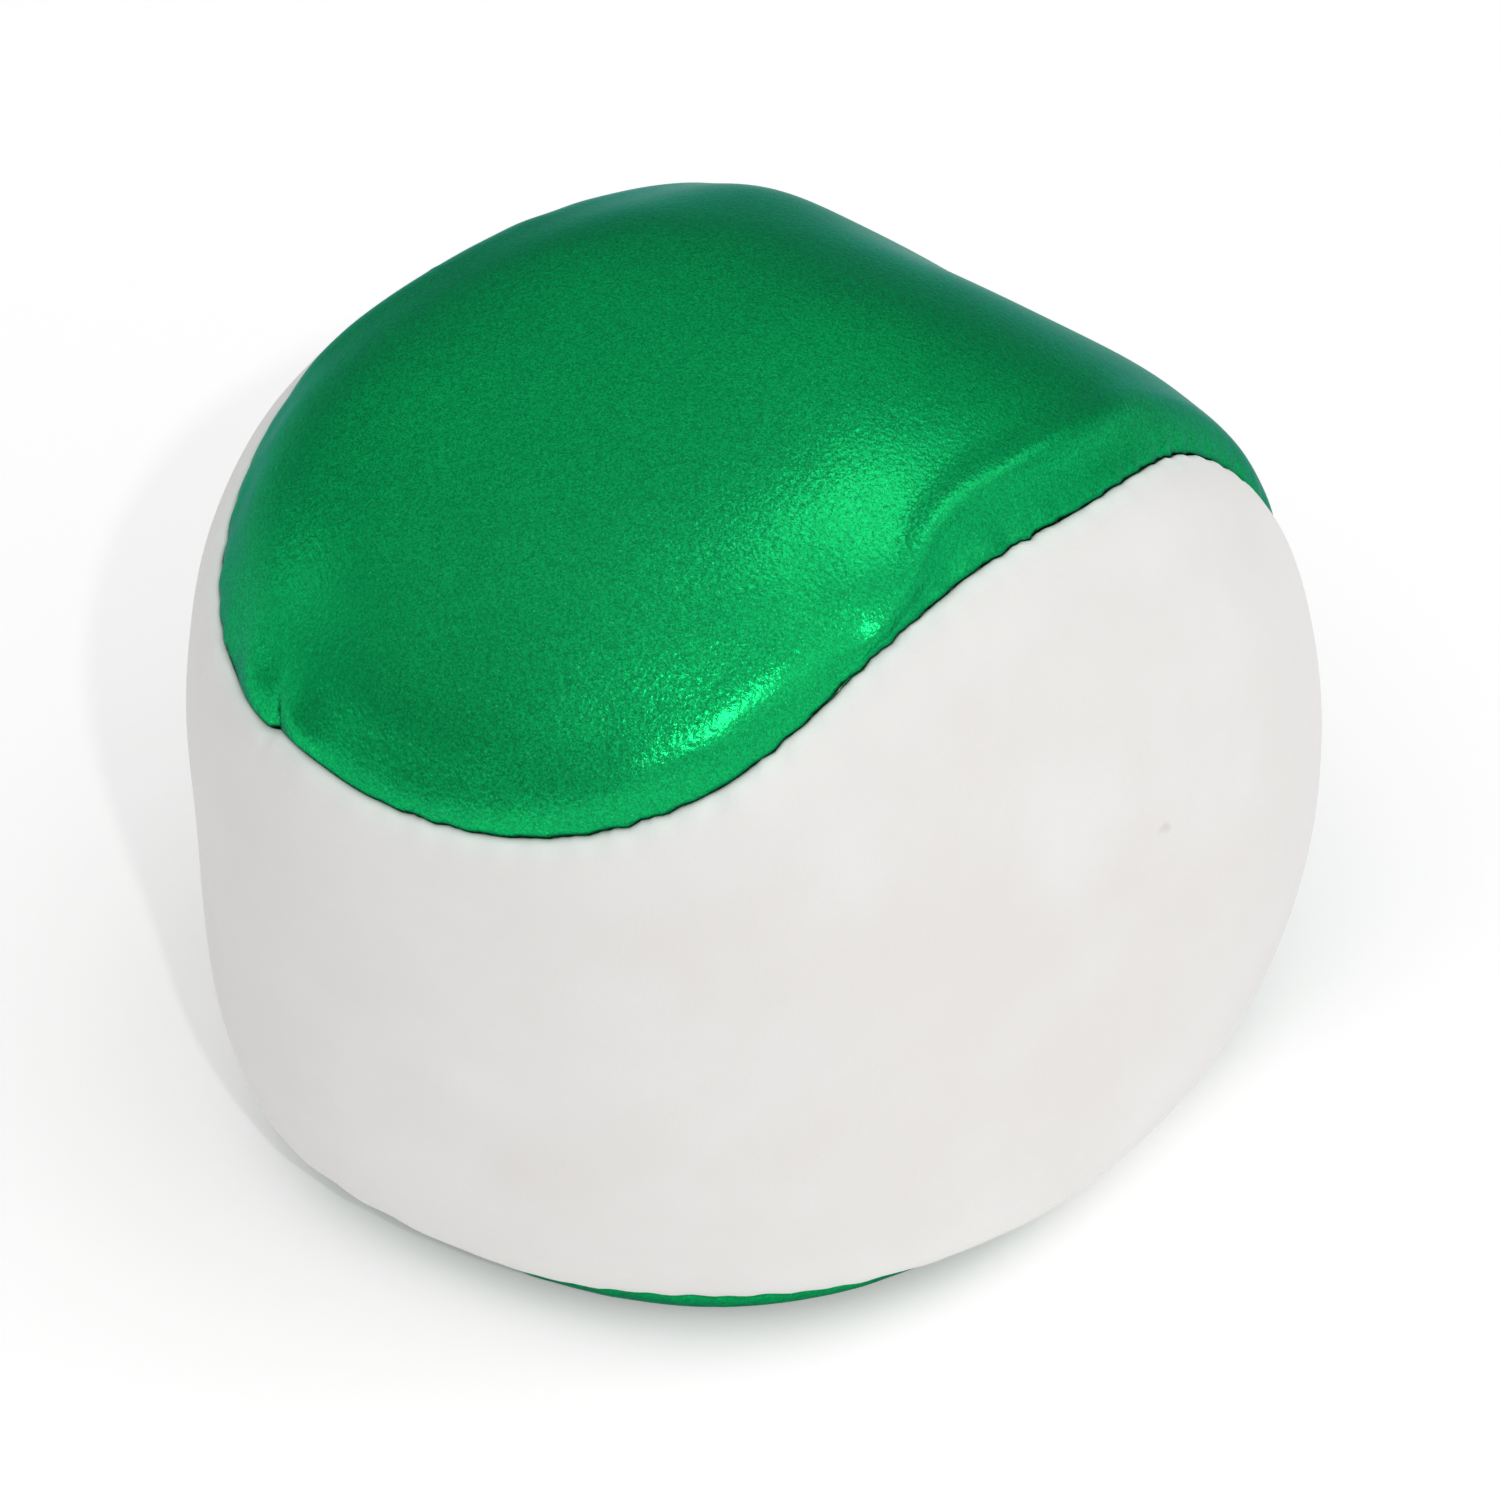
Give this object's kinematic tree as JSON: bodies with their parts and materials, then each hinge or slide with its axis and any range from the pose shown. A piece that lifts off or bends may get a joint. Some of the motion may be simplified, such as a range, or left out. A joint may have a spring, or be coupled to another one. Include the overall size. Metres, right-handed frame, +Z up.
{
  "type": "juggling ball",
  "caption": "Soft beanbag juggling ball of interlocking oblong leather-cloth panels, metallic green and white, joined by a winding sewn seam and filled with loose plastic granules.",
  "frame": {"origin": "middle of the bag's outline seen from above, on the surface that the flat base rests on", "axes": "+Z up; -Y to the front, where the white panel is narrowest in height and the green top leans down; +X to the right cheek of the white panel"},
  "size_m": [0.0596, 0.0652, 0.051],
  "materials": {
    "green_leather": "metallic pearl coated leather cloth, satin, fine grain",
    "white_leather": "off-white coated leather cloth, soft satin, fine grain",
    "knit_backing": "fine knitted polyester backing",
    "seam_thread": "twisted polyester sewing thread",
    "hand_thread": "twisted polyester sewing thread",
    "plastic_granules": "translucent natural plastic pellets"
  },
  "bodies": {
    "root": {"green_panel": "green_leather", "white_panel": "white_leather", "green_backing": "knit_backing", "white_backing": "knit_backing", "needle_thread": "seam_thread", "bobbin_thread": "seam_thread", "closing_thread": "hand_thread", "granules": "plastic_granules"}
  },
  "joints": []
}
